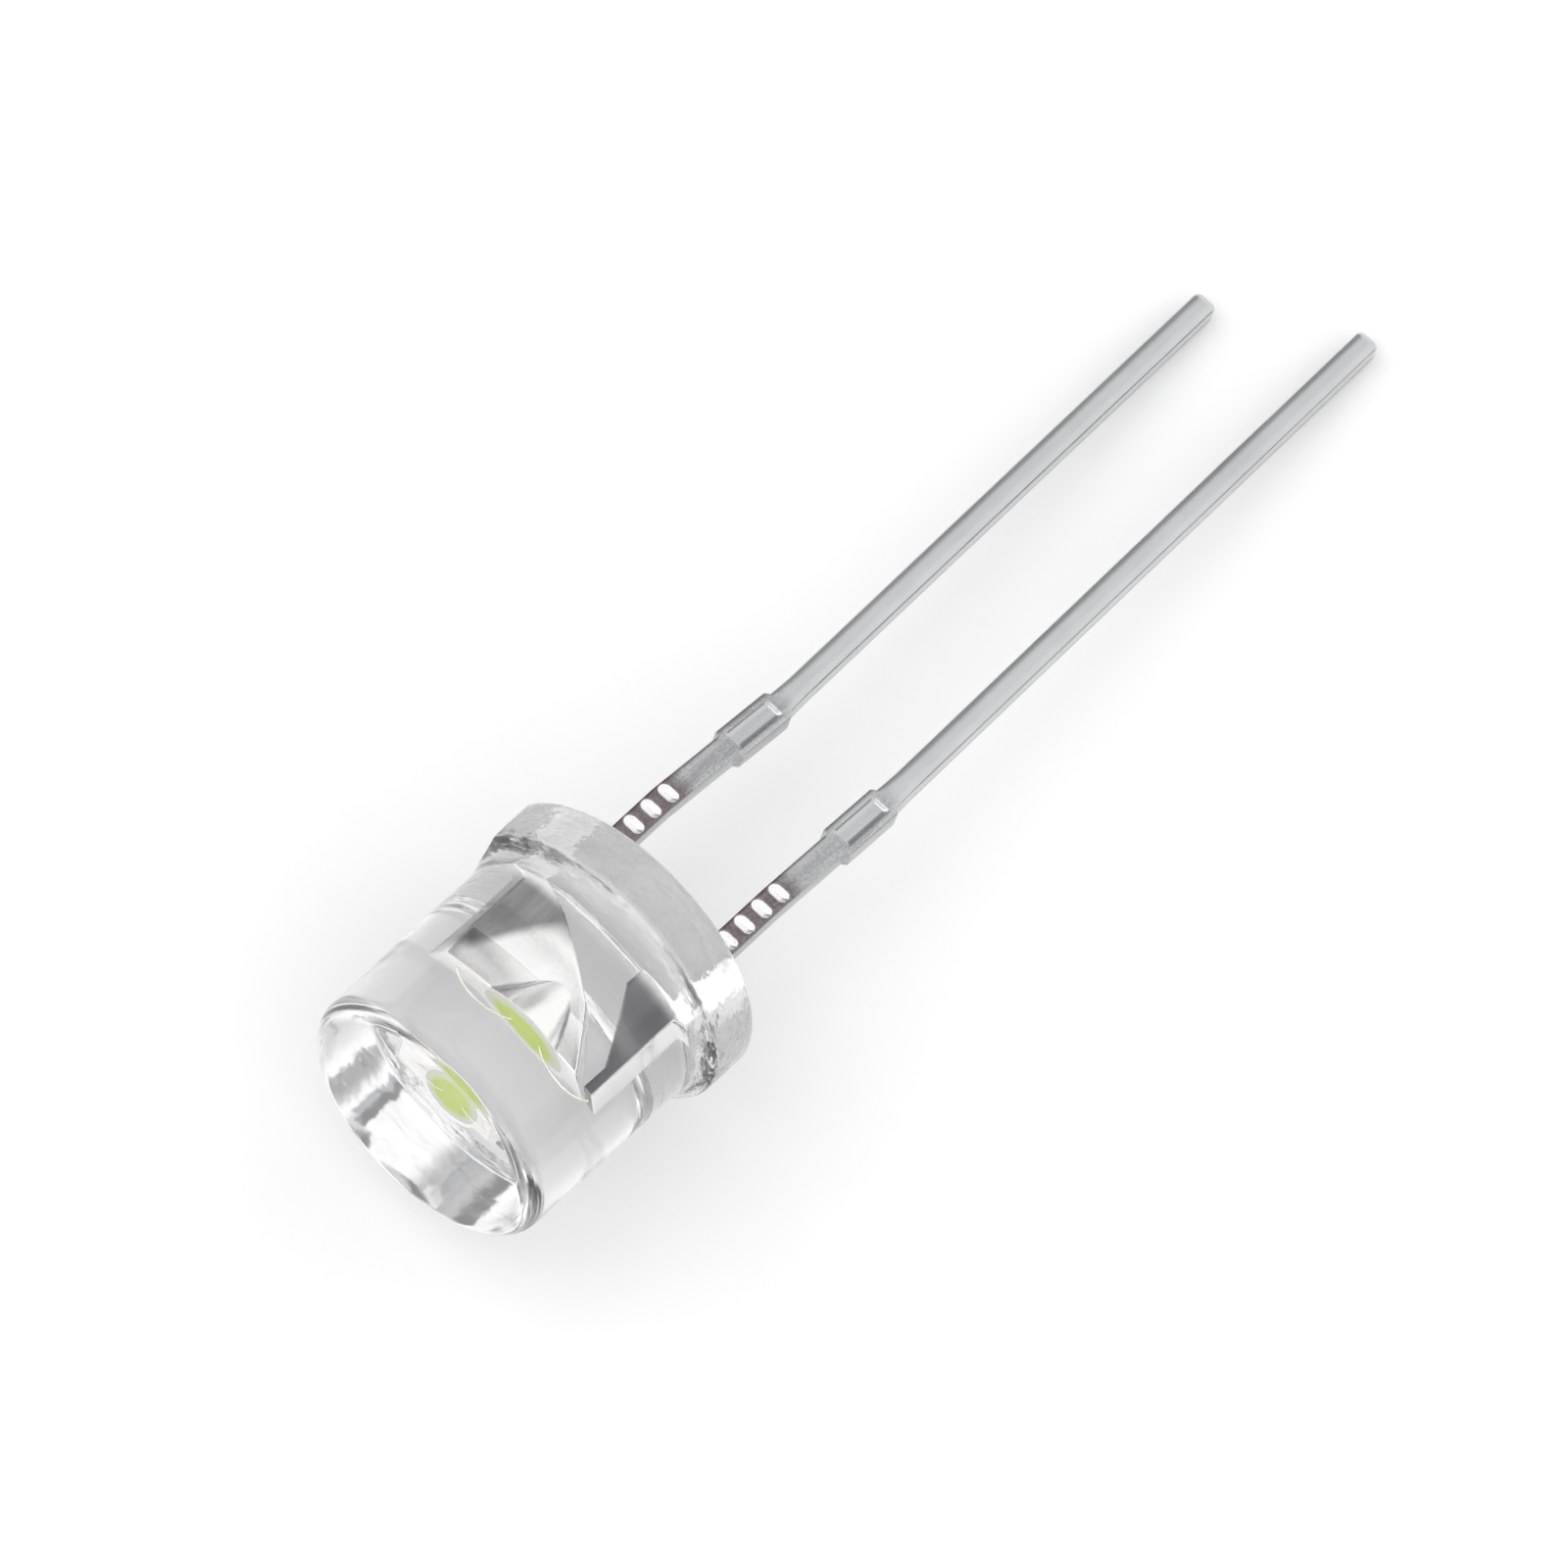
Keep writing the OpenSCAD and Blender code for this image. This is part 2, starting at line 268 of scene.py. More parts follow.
def clearEpoxy():
    shader = Shader("clearEpoxy")
    waves = shader.noise(case["waveScale"], 2)
    specks = shader.noise(case["speckScale"], 6, 0.6)
    swirls = shader.noise(case["swirlScale"], 3, 0.6, (1, 1, 2.2))
    along = shader.along()
    flange = 1 - shader.level(along, case["flangeThickness"] - 0.1, case["flangeThickness"] + 0.5)
    rim = shader.level(along, case["height"] - case["rimRounding"], case["height"] - 0.1)
    frost = flange * case["flangeFrost"] + rim * (1 - rim) * case["rimFrost"]
    height = waves * case["waveHeight"] + swirls * flange * case["swirlHeight"]
    height = height + specks * case["speckHeight"]
    # Paler where the waves rise, a random tint, and across the flange, which is painted light.
    wavesAndPaintedLight = shader.level(waves + flange, 0.3, 1.0)
    return shader.finish(
        baseColour=shader.mix(wavesAndPaintedLight, case["clearColour"], case["palerColour"]),
        roughness=shader.level(specks, 0.3, 0.8, *case["roughness"]) + frost,
        transmission=1.0, ior=case["indexOfRefraction"],
        normal=shader.bump(height, case["bumpDistance"]))


def buildCase():
    radius = case["radius"]
    height = case["height"]
    flange = radius + case["flangeLip"]
    front = (flange - case["frontRounding"], case["flangeThickness"] - case["frontRounding"])
    across = radius + case["blend"] - front[0]
    up = math.sqrt((case["blend"] + case["frontRounding"]) ** 2 - across ** 2)
    lean = math.degrees(math.atan2(up, across))
    back = case["backRounding"]
    rim = case["rimRounding"]
    profile = [(0, 0), (1, 0), (flange - back - case["straight"], 0)]
    profile += arc((flange - back, back), back, -90, 0, case["backSteps"])
    profile += arc(front, case["frontRounding"], 0, lean, case["frontSteps"])
    hollow = (radius + case["blend"], front[1] + up)
    profile += arc(hollow, case["blend"], lean + 180, 180, case["blendSteps"])[1:]
    profile += [(radius, height - rim - case["straight"])]
    profile += arc((radius - rim, height - rim), rim, 0, 90, case["rimSteps"])
    profile += [(radius - rim - case["straight"], height), (0, height)]
    mesh = revolve(profile, case["steps"])
    flat = -(radius + case["flatGap"])
    everything = list(mesh.verts) + list(mesh.edges) + list(mesh.faces)
    cut = bmesh.ops.bisect_plane(mesh, geom=everything, plane_co=(flat, 0, 0), plane_no=(1, 0, 0),
                                 clear_inner=True)
    edges = [part for part in cut["geom_cut"] if isinstance(part, bmesh.types.BMEdge)]
    bmesh.ops.holes_fill(mesh, edges=edges)
    bmesh.ops.recalc_face_normals(mesh, faces=mesh.faces)
    settle(asObject("clearCase", mesh), clearEpoxy(), case["sharpAngle"], ["epoxy_case"])


lead = {                                         # both leads, outside the case
    "pitch": 2.54,
    "straight": 2.1,                             # length that stays square to the seating plane
    "width": 0.47,
    "thickness": 0.45,
    "edge": 0.05,                                # rounding of the long edges
    "squareness": 14,                            # how square the pressed length is, 2 is an ellipse
    "tinnedSquareness": 4.6,                     # the dipped length, which the tin rounds off
    "tipRounding": 0.16,
    "standoff": 3.6,                             # seating plane to the stand-off
    "standoffLength": 1.3,
    "standoffProud": 0.085,
    "standoffSlope": 0.09,
    "panelBorder": 0.13,
    "panelDepth": 0.05,
    "panelSideSlope": 0.06,
    "panelEndSlope": 0.08,
    "bites": 5,                                  # pressed marks next to the case
    "bitePitch": 0.43,
    "biteStart": 0.52,
    "biteWidth": 0.45,
    "biteHalfLength": 0.14,
    "biteDepth": 0.06,
    "biteFullness": 1.15,                        # above 1, the floor of a bite is flat
    "dippedStart": 0.05,                         # above the end of the stand-off
    "dippedSlope": 0.3,                          # over which the tin makes the lead rounder
    "acrossSteps": 18,
    "cornerSteps": 4,
    "tipSteps": 10,
    "coarseStep": 0.35,                          # between rings along the plain length
    "fineStep": 0.022,                           # between rings along the pressed length
    "fineMargin": 0.1,
    "sharpAngle": 38,
}
cathode = {"side": -1, "length": 15.9, "leanNear": 3.5, "leanFar": -0.7}      # leans in degrees
anode = {"side": 1, "length": 17.4, "leanNear": 1.5, "leanFar": -0.9}
frameEnds = {                                    # both leads, inside the case
    "cupHeight": 3.1,
    "cupBore": 1.16,
    "cupFloorBore": 0.62,
    "cupDepth": 0.48,
    "cupWall": 0.09,
    "flareHeight": 1.0,
    "shoulder": 0.75,
    "shoulderStep": 0.27,
    "anvilReach": 0.92,
    "anvilTop": 0.72,
    "anvilBevel": 0.75,
    "kneeX": 0.3,
    "kneeDrop": 1.08,
    "heelX": 0.6,
    "heelRise": 0.35,
    "postGap": 0.12,
    "postNeck": 0.55,
    "postFootX": 0.44,
    "postFootHeight": 0.4,
    "edge": 0.04,
    "edgeSteps": 6,
    "ringStep": 0.04,
    "roundSteps": 96,                            # round the cup
    "toolMargin": 0.04,                          # the bowl's tool stands this far above the anvil
}
tin = {
    "plain": (0.53, 0.545, 0.555, 1),
    "paler": (0.67, 0.68, 0.685, 1),
    "worked": (0.33, 0.33, 0.34, 1),             # the pressed length and the stand-off
    "stain": (0.17, 0.13, 0.135, 1),             # between the bites
    "polished": (0.96, 0.95, 0.95, 1),           # in the bites
    "bright": (0.97, 0.965, 0.955, 1),           # plated frame near the lens
    "foot": (0.74, 0.735, 0.73, 1),              # plated frame in the flange
    "dull": (0.09, 0.09, 0.09, 1),               # painted shade on a low corner of the anvil
    # painted shade on the post
    "post": (0.33, 0.33, 0.34, 1),
    "streakScale": 7,
    "grainScale": 24,
    "patchScale": 0.9,
    "bumpDistance": 0.00001,
    "bumpStrength": 0.22,
    "roughness": (0.17, 0.28),
    "broadFace": (0.15, 0.19),                   # where Y passes onto the broad face
    "bitten": (-2.75, -2.35),                    # where Z passes into the bitten length
    "pressed": (-5.2, -4.7),                     # where Z passes into the pressed length
    "flange": (0.85, 1.15),                      # where Z passes out of the flange
    "footHeight": (0.4, 1.0),
    "dullHeight": (1.25, 1.75),                  # top of the painted shade at its inner end
    "cornerX": (-1.25, -0.45),
    "cornerReach": 1.5,                          # how much higher it stands at its outer end
    "postSide": (1.2, 1.23),                     # past this X the edge of the post stays bright
}


def smooth(value):
    value = min(max(value, 0.0), 1.0)
    return value * value * (3 - 2 * value)


def between(z, stations):                        # reads a piecewise-straight outline at height z
    for (lowZ, low), (highZ, high) in zip(stations, stations[1:]):
        if z <= highZ:
            share = (z - lowZ) / (highZ - lowZ)
            return low + (high - low) * share
    return stations[-1][1]


def leadCentre(pole, down):                      # X of a lead's middle, this far below the seating plane
    near = math.tan(math.radians(pole["leanNear"]))
    far = math.tan(math.radians(pole["leanFar"]))
    bend = lead["standoff"] + lead["standoffLength"]
    leaning = max(min(down, bend) - lead["straight"], 0)
    return pole["side"] * lead["pitch"] / 2 + leaning * near + max(down - bend, 0) * far


def leadRing(left, right, thickness, z, edge, press=None, squareness=None):
    half = thickness / 2
    edge = min(edge, half * 0.9, (right - left) * 0.45)
    points = []
    corners = [(right - edge, half - edge, 0), (left + edge, half - edge, 90),
               (left + edge, edge - half, 180), (right - edge, edge - half, 270)]
    for index, (cx, cy, start) in enumerate(corners):
        points += arc((cx, cy), edge, start, start + 90, lead["cornerSteps"])
        nextX = corners[(index + 1) % 4][0]
        if index % 2 == 0:                       # the two broad faces carry points for pressed marks
            level = half if index == 0 else -half
            for i in range(1, lead["acrossSteps"]):
                points.append((cx + (nextX - cx) * i / lead["acrossSteps"], level))
    middle = (left + right) / 2
    wide = (right - left) / 2
    ring = []
    for x, y in points:
        onTop = press and y > half - edge * 0.3
        if squareness:
            reach = abs((x - middle) / wide) ** squareness + abs(y / half) ** squareness
            x = middle + (x - middle) * reach ** (-1 / squareness)
            y *= reach ** (-1 / squareness)
        if onTop:
            y -= press(x, z)
        ring.append((x, y, z))
    return ring


def pressedMarks(pole):                          # depth of the bites and of the stand-off's panel
    def depth(x, z):
        down = -z
        x -= leadCentre(pole, down)
        total = 0.0
        for i in range(lead["bites"]):
            reach = max(abs(x) - lead["biteWidth"] / 2 + lead["biteHalfLength"], 0)
            away = math.hypot(reach, down - lead["biteStart"] - i * lead["bitePitch"])
            total += lead["biteDepth"] * smooth(lead["biteFullness"] * (1 - away / lead["biteHalfLength"]))
        sideRoom = lead["width"] / 2 + lead["standoffProud"] - lead["panelBorder"] - abs(x)
        middle = lead["standoff"] + lead["standoffLength"] / 2
        endRoom = lead["standoffLength"] / 2 - lead["panelBorder"] - abs(down - middle)
        panel = smooth(sideRoom / lead["panelSideSlope"]) * smooth(endRoom / lead["panelEndSlope"])
        return total + lead["panelDepth"] * panel
    return depth


def leadRings(pole):                             # the free lead, from its cut end up to the seating plane
    length = pole["length"]
    tip = lead["tipRounding"]
    quarter = math.pi / 2 / lead["tipSteps"]
    stations = [length - tip * (1 - math.cos(quarter * i)) for i in range(lead["tipSteps"] + 1)]
    bend = lead["standoff"] + lead["standoffLength"]
    fineLength = bend + lead["fineMargin"]
    steps = int((length - tip - bend) / lead["coarseStep"])
    stations += [length - tip - (length - tip - fineLength) * i / steps for i in range(1, steps + 1)]
    steps = int(fineLength / lead["fineStep"])
    stations += [fineLength * (1 - i / steps) for i in range(1, steps)]
    press = pressedMarks(pole)
    rings = []
    for down in stations:
        half = lead["width"] / 2
        thick = lead["thickness"]
        rise = smooth((down - lead["standoff"]) / lead["standoffSlope"])
        fall = smooth((bend - down) / lead["standoffSlope"])
        half += lead["standoffProud"] * min(rise, fall)
        toEnd = length - down
        if toEnd < tip:
            inset = tip - math.sqrt(max(tip ** 2 - (tip - toEnd) ** 2, 0))
            half -= inset
            thick -= 2 * inset
        centre = leadCentre(pole, down)
        dipped = smooth((down - bend + lead["dippedStart"]) / lead["dippedSlope"])
        squareness = lead["squareness"] + (lead["tinnedSquareness"] - lead["squareness"]) * dipped
        rings.append(leadRing(centre - half, centre + half, thick, -down, lead["edge"], press, squareness))
    return rings


def frameRings(left, right, thick, heights):     # the part inside the case, up from the seating plane
    top = heights[-1]
    rings = []
    for z in heights:
        inset = 0.0
        if top - z < frameEnds["edge"]:
            gone = frameEnds["edge"] - (top - z)
            inset = frameEnds["edge"] - math.sqrt(max(frameEnds["edge"] ** 2 - gone ** 2, 0))
        rings.append(leadRing(between(z, left) + inset, between(z, right) - inset,
                              between(z, thick) - 2 * inset, z, frameEnds["edge"]))
    return rings


def heightsTo(top, kinks):                       # rings at the kinks, at even steps and round the top edge
    heights = set(kinks)
    steps = int(top / frameEnds["ringStep"])
    heights |= {round(top * i / steps, 5) for i in range(steps + 1)}
    edgeSteps = frameEnds["edgeSteps"]
    rises = [1 - math.sin(math.pi / 2 * i / edgeSteps) for i in range(edgeSteps)]
    heights |= {top - frameEnds["edge"] * rise for rise in rises}
    return sorted(height for height in heights if height <= top)


def tinnedLead(name, frameColouring):
    shader = Shader(name)
    streaks = shader.noise(tin["streakScale"], 5, 0.65, (1, 1, 0.06))
    grain = shader.noise(tin["grainScale"], 3, 0.6)
    patches = shader.noise(tin["patchScale"], 3)
    x = shader.along("X")
    y = shader.along("Y")
    along = shader.along()
    inside = shader.level(along, -0.03, 0.03)    # the frame in the case is plated brighter, with painted shade in places
    broadFace = shader.level(y, *tin["broadFace"])
    bitten = shader.level(along, *tin["bitten"]) * (1 - inside)
    worked = shader.level(along, *tin["pressed"]) * (1 - inside)
    mark = shader.node("ShaderNodeAttribute", {"attribute_name": "pressed"}, output="Fac")
    polished = shader.level(mark, 0.03, 0.3)
    plain = shader.mix(patches, tin["plain"], tin["paler"])
    scuffed = shader.level(grain * 0.4 + streaks * 0.6, 0.38, 0.62, 0.3, 0.9)
    worn = shader.mix(worked * scuffed * (1 - 0.7 * polished), plain, tin["worked"])
    covered = broadFace * bitten * (1 - polished)
    stained = shader.mix(covered * shader.level(grain, *noiseSpan, 0.7, 1.0), worn, tin["stain"])
    marked = shader.mix(polished * bitten, stained, tin["polished"])
    # The frame's plating, with painted shade on the anvil's low corner and on the post.
    frameColour = frameColouring(shader, x, along, patches, streaks)
    height = streaks * 0.7 + grain * 0.3
    rubbed = streaks * 0.6 + grain * 0.4
    return shader.finish(
        baseColour=shader.mix(inside, marked, frameColour), metallic=1.0,
        roughness=shader.level(rubbed, *noiseSpan, *tin["roughness"]) * (1 - inside * 0.3),
        normal=shader.bump(height, tin["bumpDistance"], tin["bumpStrength"]))


def anvilPlatingAndShade(shader, x, along, patches, streaks):
    # Painted shade: the anvil darkens low down, just above the flange, and higher up toward its outer end.
    corner = shader.level(x, *tin["cornerX"], tin["cornerReach"], 0.0)
    dull = 1 - shader.level(along + patches * 0.3 - corner, *tin["dullHeight"])
    dull = dull * shader.level(along, *tin["flange"]) * (0.6 + 0.4 * streaks)
    frameColour = shader.mix(shader.level(along, *tin["footHeight"]), tin["foot"], tin["bright"])
    return shader.mix(dull, frameColour, tin["dull"])


def postPlatingAndShade(shader, x, along, patches, streaks):
    # Painted shade: above the flange the post is darkened, all but its outer edge.
    side = shader.level(x, *tin["postSide"])
    paintedPostShade = shader.level(along, *tin["flange"]) * (1 - side) * (0.8 + 0.4 * patches)
    return shader.mix(paintedPostShade, shader.mix(side, tin["foot"], tin["bright"]), tin["post"])


def markPressed(piece, pole):                    # how deep each point is pressed, for the material
    press = pressedMarks(pole)
    values = []
    for vertex in piece.data.vertices:
        x, y, z = vertex.co
        values.append(press(x, z) / lead["biteDepth"] if y > 0.1 and z < 0 else 0.0)
    piece.data.attributes.new("pressed", "FLOAT", "POINT").data.foreach_set("value", values)


def buildCathode(half, step, stepZ, top):
    shoulder = frameEnds["shoulder"]
    exitX = leadCentre(cathode, 0)
    left = [(0, exitX - half), (shoulder, exitX - half), (stepZ, -step), (top, -step)]
    right = [(0, exitX + half), (shoulder, exitX + half),
             (shoulder + frameEnds["heelRise"], -frameEnds["heelX"]),
             (top - frameEnds["kneeDrop"], frameEnds["kneeX"]), (top, frameEnds["anvilReach"])]
    thick = [(0, lead["thickness"]), (top - frameEnds["anvilBevel"], lead["thickness"]),
             (top, frameEnds["anvilTop"])]
    heights = heightsTo(top, [z for z, x in left + right + thick])
    anvil = asObject("cathodeLead", loft(leadRings(cathode) + frameRings(left, right, thick, heights)))
    bore = frameEnds["cupBore"] / 2
    low = top - frameEnds["flareHeight"]
    flare = revolve([(0, low), (lead["thickness"] / 2, low), (bore + frameEnds["cupWall"], top), (0, top)],
                    frameEnds["roundSteps"])
    boolean(anvil, asObject("flare", flare), "UNION")
    floor = top - frameEnds["cupDepth"]
    above = frameEnds["toolMargin"]
    bowl = revolve([(0, floor), (frameEnds["cupFloorBore"] / 2, floor), (bore, top),
                    (bore + above, top + above), (0, top + above)], frameEnds["roundSteps"])
    boolean(anvil, asObject("bowl", bowl), "DIFFERENCE")
    markPressed(anvil, cathode)
    material = tinnedLead("tinnedCathode", anvilPlatingAndShade)
    settle(anvil, material, lead["sharpAngle"], ["cathode_lead"])


def buildAnode(half, step, stepZ, top):
    shoulder = frameEnds["shoulder"]
    footLow = stepZ - frameEnds["postFootHeight"] / 2
    footHigh = stepZ + frameEnds["postFootHeight"] / 2
    postX = frameEnds["anvilReach"] + frameEnds["postGap"]
    exitX = leadCentre(anode, 0)
    left = [(0, exitX - half), (shoulder - frameEnds["postFootHeight"] / 2, exitX - half),
            (footLow, frameEnds["postFootX"]), (footHigh, frameEnds["postFootX"]),
            (top - frameEnds["postNeck"], postX), (top, postX)]
    right = [(0, exitX + half), (shoulder, exitX + half), (stepZ, step), (top, step)]
    thick = [(0, lead["thickness"]), (top, lead["thickness"])]
    heights = heightsTo(top, [z for z, x in left + right])
    post = asObject("anodeLead", loft(leadRings(anode) + frameRings(left, right, thick, heights)))
    markPressed(post, anode)
    material = tinnedLead("tinnedAnode", postPlatingAndShade)
    settle(post, material, lead["sharpAngle"], ["anode_lead"])


def buildLeads():
    half = lead["width"] / 2
    step = lead["pitch"] / 2 + half - frameEnds["shoulderStep"]
    stepZ = frameEnds["shoulder"] + frameEnds["shoulderStep"]
    for build in (buildCathode, buildAnode):     # step is the outer side in the case, from stepZ up
        build(half, step, stepZ, frameEnds["cupHeight"])


chip = {                                         # the die, its phosphor and its wires
    "dieThickness": 0.1,
    "attachThickness": 0.02,
    "phosphorRise": 0.06,
    "phosphorColour": (0.56, 0.76, 0.12, 1),
    "phosphorPaler": (0.76, 0.9, 0.26, 1),
    "phosphorEdge": (0.82, 0.85, 0.72, 1),       # where the fill runs thin against the cup
    "phosphorRim": (0.4, 0.56),                  # radius over which it thins
    "phosphorRoughness": (0.45, 0.65),
    "phosphorBump": 0.000006,
    "fillGap": 0.002,                            # between fill and cup
    "domeSteps": 12,
    "fillSharpAngle": 40,
    "grainScale": 16,
    "cloudScale": 2.2,
    "wire": 0.04,
    "wireSteps": 40,
    "wireSides": 12,
    "wireSharpAngle": 50,
    "bond": 0.1,                                 # from the middle of the die
    "loop": 0.4,
    "ball": 0.08,
    "ballHeight": 0.03,
    "ballSides": 24,
    "ballFoot": 0.8,                             # width at the bottom and top, as shares of the ball
    "ballCrown": 0.7,
    "goldGrainScale": 30,
    "goldColour": (0.93, 0.84, 0.74, 1),
    "goldPaler": (0.98, 0.92, 0.85, 1),
    "goldRoughness": (0.18, 0.3),
    "goldBump": 0.000001,
    "dieColour": (0.35, 0.45, 0.62, 1),
    "diePaler": (0.5, 0.6, 0.75, 1),
    "pasteColour": (0.78, 0.79, 0.76, 1),
    "pastePaler": (0.9, 0.9, 0.88, 1),
    "hiddenGrainScale": 9000.0,                  # in the scene's metres
    "hiddenBump": 0.000002,
}


def phosphorFinish():
    shader = Shader("phosphorFill")
    grains = shader.noise(chip["grainScale"], 4, 0.6)
    clouds = shader.noise(chip["cloudScale"], 3)
    spot = shader.node("ShaderNodeVectorMath", {"operation": "MULTIPLY"}, {0: shader.place(), 1: (1, 1, 0)})
    radius = shader.node("ShaderNodeVectorMath", {"operation": "LENGTH"}, {0: spot}, "Value")
    body = shader.mix(clouds, chip["phosphorColour"], chip["phosphorPaler"])
    thin = shader.level(radius + clouds * 0.1, *chip["phosphorRim"])
    return shader.finish(
        baseColour=shader.mix(thin, body, chip["phosphorEdge"]),
        roughness=shader.level(grains, *noiseSpan, *chip["phosphorRoughness"]),
        normal=shader.bump(grains, chip["phosphorBump"], 0.5))


def goldFinish():
    shader = Shader("goldWire")
    grain = shader.noise(chip["goldGrainScale"], 3)
    return shader.finish(
        baseColour=shader.mix(grain, chip["goldColour"], chip["goldPaler"]), metallic=1.0,
        roughness=shader.level(grain, *noiseSpan, *chip["goldRoughness"]),
        normal=shader.bump(grain, chip["goldBump"], 0.3))


def hiddenFinish(node, name, first, second, roughness):        # for the two pieces that keep their CAD mesh
    shader = Shader(name)
    grain = shader.node("ShaderNodeTexNoise", {},
                        {"Vector": shader.position(), "Scale": chip["hiddenGrainScale"], "Detail": 3.0})
    material = shader.finish(
        baseColour=shader.mix(grain, first, second),
        roughness=shader.level(grain, *noiseSpan, roughness, roughness + 0.15),
        normal=shader.bump(grain, chip["hiddenBump"], 0.4))
    for slot in frame["nodes"][node].material_slots:
        slot.material = material


def buildPhosphor():
    top = frameEnds["cupHeight"]
    floor = top - frameEnds["cupDepth"] + chip["attachThickness"] * 0.5
    radius = frameEnds["cupBore"] / 2 - chip["fillGap"]
    rise = chip["phosphorRise"]
    domeRadius = (radius ** 2 + rise ** 2) / (2 * rise)
    edge = math.degrees(math.acos(radius / domeRadius))
    profile = [(0, floor), (frameEnds["cupFloorBore"] / 2 - chip["fillGap"], floor)]
    profile += arc((0, top + rise - domeRadius), domeRadius, edge, 90, chip["domeSteps"])
    profile[-1] = (0, top + rise)
    piece = asObject("phosphorFill", revolve(profile, frameEnds["roundSteps"]))
    settle(piece, phosphorFinish(), chip["fillSharpAngle"], ["phosphor_fill"])


def buildWire(name, node, fromX, toX, material):
    bondZ = frameEnds["cupHeight"] - frameEnds["cupDepth"] + chip["attachThickness"] + chip["dieThickness"]
    start = Vector((fromX, 0, bondZ))
    end = Vector((toX, 0, frameEnds["cupHeight"]))
    chord = end - start
    normal = Vector((-chord.z, 0, chord.x)).normalized()
    if normal.z < 0:
        normal = -normal
    loop = chip["loop"]
    radius = (chord.length ** 2 / 4 + loop ** 2) / (2 * loop)
    centre = (start + end) / 2 - normal * (radius - loop)
    first = math.atan2(start.z - centre.z, start.x - centre.x)
    last = math.atan2(end.z - centre.z, end.x - centre.x)
    sweep = (last - first) % (2 * math.pi)
    if fromX < toX:
        sweep -= 2 * math.pi
    thin = chip["wire"] / 2
    rings = []
    for i in range(chip["wireSteps"] + 1):
        angle = first + sweep * i / chip["wireSteps"]
        out = Vector((math.cos(angle), 0, math.sin(angle)))
        ring = []
        for j in range(chip["wireSides"]):
            spin = 2 * math.pi * j / chip["wireSides"]
            aside = Vector((0, thin * math.sin(spin), 0))
            ring.append(centre + out * (radius + thin * math.cos(spin)) + aside)
        rings.append(ring)
    piece = asObject(name, loft(rings))
    wide = chip["ball"] / 2
    ballTop = bondZ + chip["ballHeight"]
    ball = revolve([(0, bondZ), (wide * chip["ballFoot"], bondZ), (wide, bondZ + chip["ballHeight"] / 2),
                    (wide * chip["ballCrown"], ballTop), (0, ballTop)], chip["ballSides"])
    bmesh.ops.translate(ball, vec=(fromX, 0, 0), verts=ball.verts)
    boolean(piece, asObject("ball", ball), "UNION")
    settle(piece, material, chip["wireSharpAngle"], [node])


def buildChip():
    hiddenFinish("led_die", "sapphireDie", chip["dieColour"], chip["diePaler"], 0.1)
    hiddenFinish("die_attach", "attachPaste", chip["pasteColour"], chip["pastePaler"], 0.5)
    buildPhosphor()
    gold = goldFinish()
    outer = lead["pitch"] / 2 + lead["width"] / 2 - frameEnds["shoulderStep"]
    cupEdge = frameEnds["cupBore"] / 2 + frameEnds["cupWall"]
    post = frameEnds["anvilReach"] + frameEnds["postGap"]
    buildWire("cathodeWire", "cathode_bond_wire", -chip["bond"], -(cupEdge + outer) / 2, gold)
    buildWire("anodeWire", "anode_bond_wire", chip["bond"], (post + outer) / 2, gold)


ground = {
    "size": 3.0,
    "drop": 0.000002,                            # below the LED, so that nothing flickers
    "colour": (0.97, 0.97, 0.97, 1),
    "farColour": (0.45, 0.45, 0.455, 1),         # further out, so that clear edges show
    "nearRadius": 0.06,
    "farRadius": 0.22,
    "roughness": 0.8,
    "specular": 0.1,
}


def buildFloor():
    shader = Shader("paleFloor")
    coordinates = shader.position()
    grain = shader.node("ShaderNodeTexNoise", {}, {"Vector": coordinates, "Scale": 400.0})
    paler = tuple(min(value * 1.02, 1) for value in ground["colour"])
    radius = shader.node("ShaderNodeVectorMath", {"operation": "LENGTH"}, {0: coordinates}, "Value")
    far = shader.level(radius, ground["nearRadius"], ground["farRadius"])
    colour = shader.mix(far, shader.mix(grain, ground["colour"], paler), ground["farColour"])
    material = shader.finish(baseColour=colour, roughness=ground["roughness"], specular=ground["specular"])
    low = cadBox[0].z - ground["drop"]
    bpy.ops.mesh.primitive_plane_add(size=ground["size"], location=(0, 0, low))
    floor = bpy.context.object
    floor.name = "floor"
    floor.data.materials.append(material)


light = {
    "skyColour": (1.0, 1.0, 1.0, 1),
    "skyStrength": 1.05,
    # Soft grey patches of the sky, which shade the clear case and the metal. Each has its azimuth,
    # elevation, inner and outer radius in degrees, and its grey.
    "flags": [
        (-116, 4, 9, 23, 0.12),
        (-132, 34, 6, 26, 0.38),
        (117, 9, 5, 17, 0.25),
    ],
    "panelAzimuth": -60,
    "panelElevation": 55,
    "panelDistance": 0.5,
    "panelSize": 0.35,
    "panelPower": 0.35,
}


def direction(azimuth, elevation):               # from the LED toward a place in the studio
    a = math.radians(azimuth)
    e = math.radians(elevation)
    return Vector((math.sin(a) * math.cos(e), -math.cos(a) * math.cos(e), math.sin(e)))


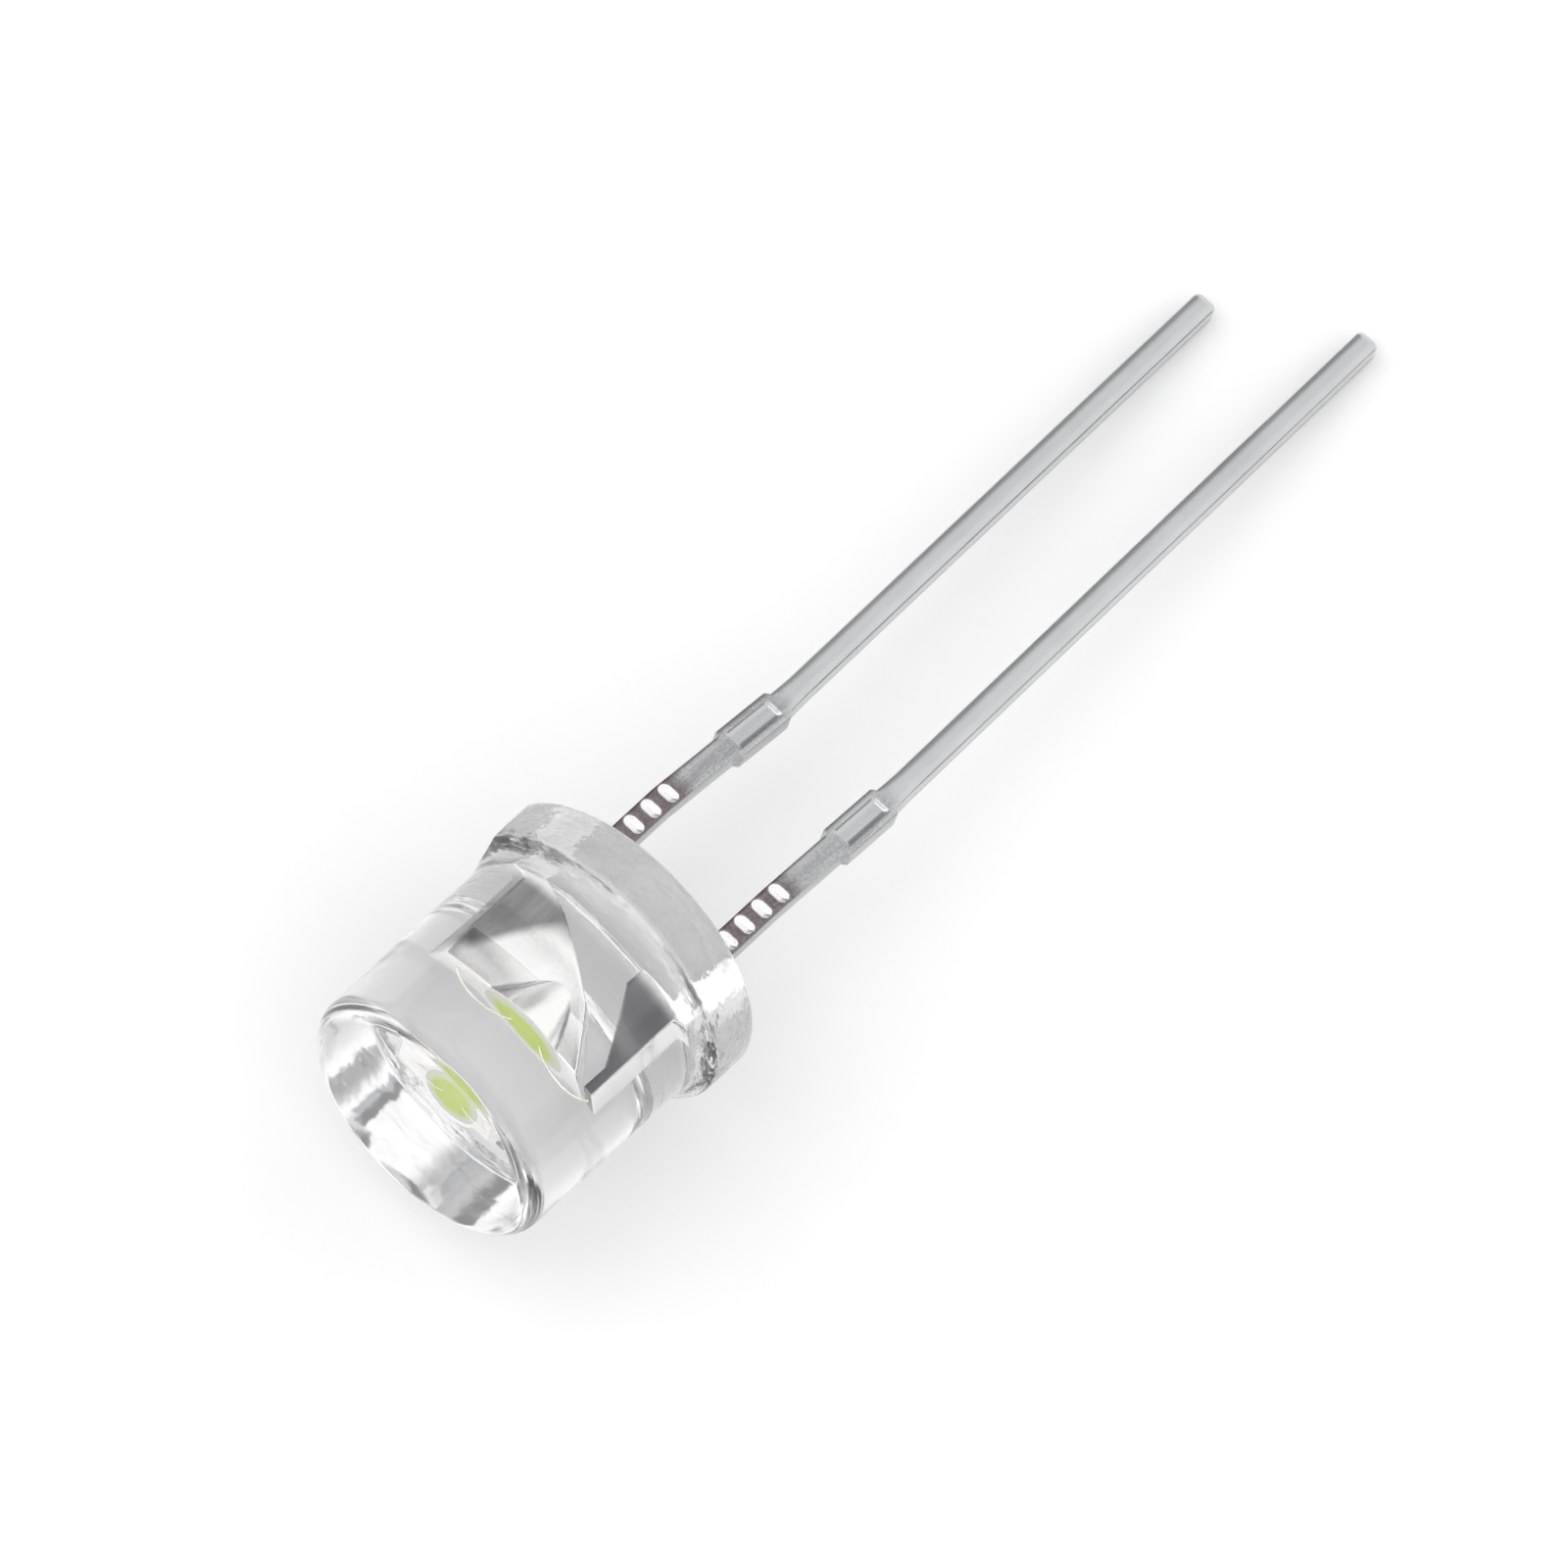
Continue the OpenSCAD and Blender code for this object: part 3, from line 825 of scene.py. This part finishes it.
def buildSky():
    sky = Shader("studio", world=True)
    toward = sky.node("ShaderNodeTexCoord", output="Generated")
    colour = light["skyColour"]
    for azimuth, elevation, core, reach, grey in light["flags"]:
        middle = tuple(direction(azimuth, elevation))
        near = sky.node("ShaderNodeVectorMath", {"operation": "DOT_PRODUCT"},
                        {0: toward, 1: middle}, "Value")
        share = sky.level(near, math.cos(math.radians(reach)), math.cos(math.radians(core)))
        colour = sky.mix(share, colour, (grey, grey, grey, 1))
    lit = sky.node("ShaderNodeBackground", {}, {"Color": colour, "Strength": light["skyStrength"]})
    sky.node("ShaderNodeOutputWorld", {}, {"Surface": lit})
    scene.world = sky.material


def buildPanel():
    lamp = bpy.data.lights.new("keyPanel", "AREA")
    lamp.shape = "SQUARE"
    lamp.size = light["panelSize"]
    lamp.energy = light["panelPower"]
    panel = bpy.data.objects.new("keyPanel", lamp)
    toward = direction(light["panelAzimuth"], light["panelElevation"])
    panel.location = toward * light["panelDistance"]
    panel.rotation_mode = "QUATERNION"
    panel.rotation_quaternion = toward.to_track_quat("Z", "Y")
    scene.collection.objects.link(panel)


view = {
    "azimuth": 19.43,
    "elevation": 72.04,
    "roll": 25.97,
    "lookAt": (0.236, 1.5, -3.184),              # in the LED's own frame
    "frameWidth": 26.19,                         # what the view takes in, in millimetres
    "lens": 1400.0,
    "sensor": 36.0,
}


def buildCamera():
    back = direction(view["azimuth"], view["elevation"])
    level = math.radians(view["azimuth"])
    right = Vector((math.cos(level), math.sin(level), 0))
    up = back.cross(right)
    roll = math.radians(view["roll"])
    right, up = right * math.cos(roll) + up * math.sin(roll), up * math.cos(roll) - right * math.sin(roll)
    data = bpy.data.cameras.new("camera")
    data.lens = view["lens"]
    data.sensor_width = view["sensor"]
    distance = view["frameWidth"] / 1000 * data.lens / data.sensor_width
    data.clip_start = distance / 100
    data.clip_end = distance * 100
    camera = bpy.data.objects.new("camera", data)
    place = ledFrame @ Vector(view["lookAt"]) + back * distance
    camera.matrix_world = Matrix.Translation(place) @ Matrix((right, up, back)).transposed().to_4x4()
    scene.collection.objects.link(camera)
    scene.camera = camera


buildCamera()
print("camera placed")
buildCase()
print("case built")
buildLeads()
print("leads built")
buildChip()
print("chip, phosphor and wires built")
buildFloor()
buildSky()
buildPanel()
scene.view_settings.view_transform = "Standard"
print("floor and light set")
